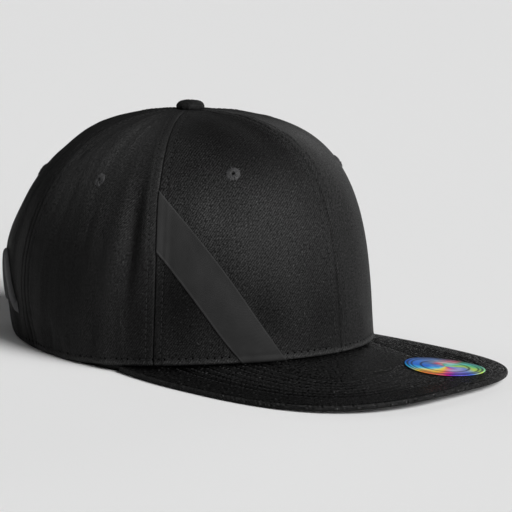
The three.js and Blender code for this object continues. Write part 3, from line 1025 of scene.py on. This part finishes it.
def place_wave(step, side):
    middle = math.radians((WAVE_FROM + WAVE_TO) / 2)
    level = math.radians(WAVE_MIDDLE)
    reach, height, _ = crown_section(middle, level)
    rise = crown_section(middle, level + math.radians(1))[1] - height
    length = reach * math.radians(abs(WAVE_TO - WAVE_FROM))
    lean = math.atan(-math.sin(WAVE_TURNS * step) * WAVE_SWING * rise * WAVE_TURNS / length)
    shift = side * WAVE_WIDTH / 2
    around = lerp(WAVE_TO, WAVE_FROM, step) - math.degrees(shift * math.sin(lean) / reach)
    up = WAVE_MIDDLE + WAVE_SWING * math.cos(WAVE_TURNS * step) + shift * math.cos(lean) / rise
    thread = THREAD_RELIEF * math.sin(step * WAVE_THREADS * 2 * math.pi)
    ends = smooth(0, 0.03, min(step, 1 - step))
    out = (WAVE_THICK * math.sqrt(max(0, 1 - abs(side) ** 3)) + thread) * ends
    return cloth_point(math.radians(around), math.radians(up), out)


wave_sides = [-1, -0.96, -0.85, -0.65, -0.4, -0.15, 0.15, 0.4, 0.65, 0.85, 0.96, 1]
ribbon = lay_grid(spaced(0, 1, WAVE_STEPS), wave_sides, place_wave)
map_cloth(ribbon, WAVE_STEPS + 1, len(wave_sides))
bmesh.ops.recalc_face_normals(ribbon, faces=ribbon.faces)
satin, cloth = new_dye("satin_thread")
u, v, _ = parts_of(cloth)
strands = (v * (1 / 0.42) + cloth.mottle(0.4) * 0.8).wave()
shine = cloth.mottle(0.3, 2.0)
tone = ((strands * 0.35 + 0.65) * (shine * 0.3 + 0.8)).blend((0, 0, 0), (0.085, 0.085, 0.088))
twist = cloth.node("ShaderNodeBump", (), {"Strength": 1.0, "Distance": 0.0001, "Height": strands})
cloth.surface(Base_Color=tone, Roughness=0.45, Specular_IOR_Level=0.2, Normal=twist)
finish_piece("wave_thread", ribbon, satin, "satin_thread", "back_wave")

# Sticker. A thin round of rainbow foil, printed with three dark rings and stuck on the left half of
# the bill, whose curve it follows.
STICKER_FORWARD = 143.9
STICKER_LEFT = 29.1
STICKER_RADIUS = 19.3
STICKER_LIFT = 0.3
STICKER_THICK = 0.2

sticker_profile = [(radius, STICKER_THICK) for radius in [0.0] + spaced(1.5, STICKER_RADIUS - 0.25, 16)]
sticker_profile += [(STICKER_RADIUS, STICKER_THICK * 0.7), (STICKER_RADIUS, 0.0)]
disc = turn_profile(sticker_profile, 96)
bmesh.ops.remove_doubles(disc, verts=disc.verts, dist=1e-4)
bmesh.ops.recalc_face_normals(disc, faces=disc.faces)


def bill_height(spot):
    """Height of the bill's upper face over a place on the ground."""
    around = math.atan2(spot.x, CENTRE - spot.y)
    near, far = -1.0, 1.0
    for _ in range(30):
        middle = (near + far) / 2
        forward, left = bill_outline(middle)
        if math.atan2(left, forward) < around:
            near = middle
        else:
            far = middle
    root, edge = bill_ends(near)
    axis = Vector((0, CENTRE))
    inner = (root.xy - axis).length
    share = ((spot.xy - axis).length - inner) / ((edge.xy - axis).length - inner)
    return lerp(edge.z, root.z, (1 - share) ** HOLLOW)


for vert in disc.verts:
    vert.co += Vector((STICKER_LEFT, CENTRE - STICKER_FORWARD, STICKER_LIFT))
    vert.co.z += bill_height(vert.co)
    vert.co *= MM
foil, place = new_dye("rainbow_foil", "Object")
middle = (STICKER_LEFT * MM, (CENTRE - STICKER_FORWARD) * MM, 0)
spot = place.node("ShaderNodeVectorMath", {"operation": "SUBTRACT"}, {0: place, 1: middle})
turned = spot.node("ShaderNodeMapping", (), {"Vector": spot, "Rotation": (0, 0, math.radians(46.6))})
x, y, _ = parts_of(turned)
far = ((x * x + y * y) ** 0.5) * (1 / (STICKER_RADIUS * MM))
angle = turned.node("ShaderNodeTexGradient", {"gradient_type": "RADIAL"}, {"Vector": turned}, 1)
bands = turned.mottle(70.0, 2.0) - 0.5
streaks = angle + bands * 0.3 + (far - 0.6) * 0.12
RAINBOW = (
    # share of a turn from the left end, anticlockwise as the camera sees it, and colour
    (0.0, (0.02, 0.12, 0.6, 1)),
    (0.08, (0.05, 0.55, 0.85, 1)),
    (0.15, (0.9, 0.8, 0.1, 1)),
    (0.22, (0.95, 0.25, 0.05, 1)),
    (0.27, (0.7, 0.02, 0.3, 1)),
    (0.34, (0.16, 0.03, 0.5, 1)),
    (0.44, (0.05, 0.15, 0.65, 1)),
    (0.5, (0.5, 0.7, 0.05, 1)),
    (0.56, (0.1, 0.55, 0.2, 1)),
    (0.64, (0.1, 0.6, 0.6, 1)),
    (0.72, (0.02, 0.3, 0.12, 1)),
    (0.77, (0.7, 0.05, 0.1, 1)),
    (0.83, (0.1, 0.15, 0.3, 1)),
    (0.92, (0.05, 0.2, 0.65, 1)),
    (1.0, (0.02, 0.12, 0.6, 1)),
)
turns = streaks.maths("FRACT")
rainbow = turns.node("ShaderNodeValToRGB", {"stops": RAINBOW}, {"Fac": turns})
colours = {"data_type": "RGBA", "blend_type": "MIX"}
# Painted reflection: a pale glare is mixed into the foil's colour, broad round its middle.
glare = {"Factor": far.peak(0.35, 0.3) * (bands * 3.0 + 0.2), "A": rainbow, "B": (0.75, 0.85, 0.9, 1)}
shining = far.node("ShaderNodeMix", colours, glare, 2)
rings = far.peak(0.93, 0.03) + far.peak(0.83, 0.025) + far.peak(0.6, 0.03)
ink = {"Factor": rings * 0.95, "A": shining, "B": (0.01, 0.01, 0.03, 1)}
printed = rings.node("ShaderNodeMix", colours, ink, 2)
place.surface(Base_Color=printed, Roughness=0.3, Specular_IOR_Level=0.12, Coat_Weight=0.05)
finish_piece("sticker_foil", disc, foil, "foil", "bill_sticker")

# Camera. It looks at the cap from the wearer's right front and a little above the bill, from over
# a metre off, with a long lens.
TARGET = Vector((0.02297, 0.00639, 0.04581))
DISTANCE = 1.128885
BEARING = math.radians(43.3752)
ELEVATION = math.radians(9.5087)
ROLL = math.radians(0.94)
SENSOR = 36  # mm across
FOCUS = 2215.532  # focal length in pixels of a picture that is 512 pixels wide

back = Vector((-math.cos(BEARING), -math.sin(BEARING), math.tan(ELEVATION))).normalized()
level = Vector((math.sin(BEARING), -math.cos(BEARING), 0))
upright = back.cross(level)
right = level * math.cos(ROLL) + upright * math.sin(ROLL)
top = upright * math.cos(ROLL) - level * math.sin(ROLL)
lens = bpy.data.cameras.new("camera")
lens.lens = SENSOR * FOCUS / 512
lens.sensor_width = SENSOR
lens.clip_end = 100
camera = bpy.data.objects.new("camera", lens)
aim = Matrix((right, top, back)).transposed().to_4x4()
camera.matrix_world = Matrix.Translation(TARGET + back * DISTANCE) @ aim
bpy.context.scene.collection.objects.link(camera)
bpy.context.scene.camera = camera

# Stage. A pale floor that fills the view, and six wide soft lamps as in a studio: three to the
# right of the camera, one far to its left, and two weak ones behind the cap.
floor_shape = bmesh.new()
bmesh.ops.create_grid(floor_shape, x_segments=2, y_segments=2, size=8)
floor_mesh = bpy.data.meshes.new("floor")
floor_shape.to_mesh(floor_mesh)
floor_shape.free()
floor = bpy.data.objects.new("floor", floor_mesh)
bpy.context.scene.collection.objects.link(floor)
pale, spot = new_dye("pale_floor", "Object")
spot.surface(Base_Color=(0.86, 0.86, 0.86, 1), Roughness=0.9)
floor_mesh.materials.append(pale)

world = bpy.data.worlds.new("studio")
world.use_nodes = True
world.node_tree.nodes["Background"].inputs["Color"].default_value = (1, 1, 1, 1)
world.node_tree.nodes["Background"].inputs["Strength"].default_value = 0.01
bpy.context.scene.world = world
bpy.context.scene.view_settings.view_transform = "Standard"

LIGHTS = (
    # name, bearing from the camera's to the right, elevation and width in degrees, strength
    ("front_softbox", 43, 35, 28, 3.6),
    ("right_softbox", 60, 20, 28, 0.9),
    ("low_softbox", 24, 6, 28, 0.9),
    ("left_softbox", -120, 36, 28, 0.24),
    ("back_rim", -156, 36, 28, 0.06),
    ("right_rim", 156, 14, 30, 0.3),
)
for name, bearing, elevation, width, strength in LIGHTS:
    lamp = bpy.data.lights.new(name, "SUN")
    lamp.angle = math.radians(width)
    lamp.energy = strength
    light = bpy.data.objects.new(name, lamp)
    turn = math.radians(bearing)
    rise = math.radians(elevation)
    ahead = Vector((back.x, back.y, 0)).normalized()
    towards = (ahead * math.cos(turn) + level * math.sin(turn)) * math.cos(rise)
    towards.z = math.sin(rise)
    light.location = TARGET + towards
    light.rotation_euler = towards.to_track_quat("Z", "Y").to_euler()
    bpy.context.scene.collection.objects.link(light)
